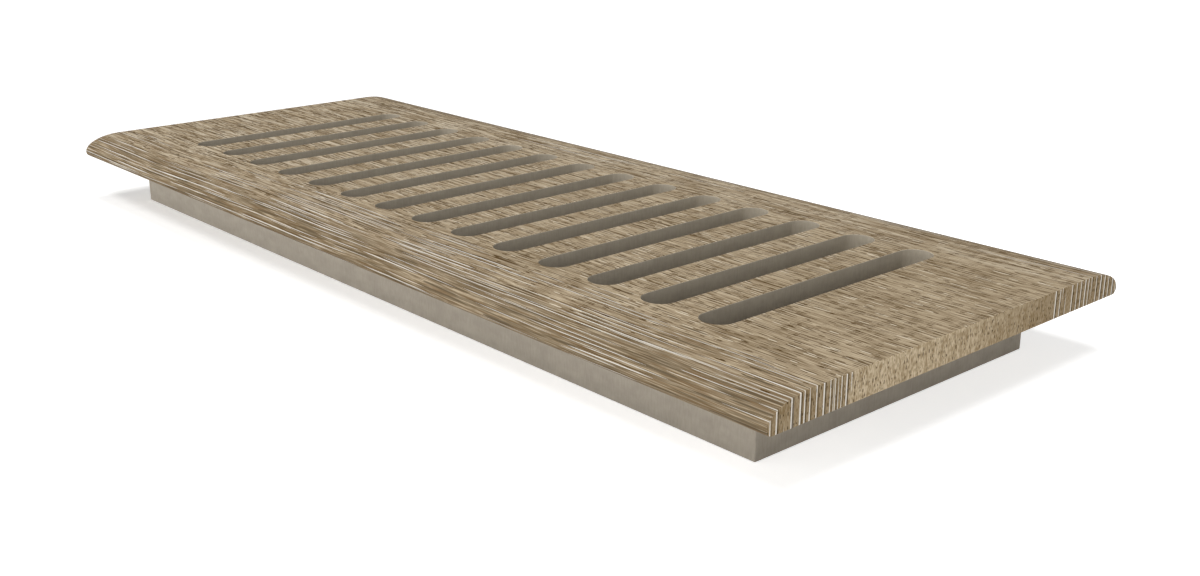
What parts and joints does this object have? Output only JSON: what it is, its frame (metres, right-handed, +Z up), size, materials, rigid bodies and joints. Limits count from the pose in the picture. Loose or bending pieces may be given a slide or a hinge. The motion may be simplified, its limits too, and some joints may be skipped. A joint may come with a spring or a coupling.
{
  "type": "floor register",
  "caption": "Drop-in floor register: a slotted wood-grain top plate with rounded long edges, glued on a smaller board base that drops into a duct opening.",
  "frame": {"origin": "centre of the base board's underside", "axes": "+X along the register's length, +Y across it, +Z up out of the floor"},
  "size_m": [0.3224, 0.1302, 0.0225],
  "materials": {
    "limed_wood": "matt limed oak grain along the length, dull taupe where the slots are cut",
    "painted_board": "matt taupe paint on fibreboard"
  },
  "bodies": {
    "root": {"top_plate": "limed_wood", "drop_in_base": "painted_board"}
  },
  "joints": []
}
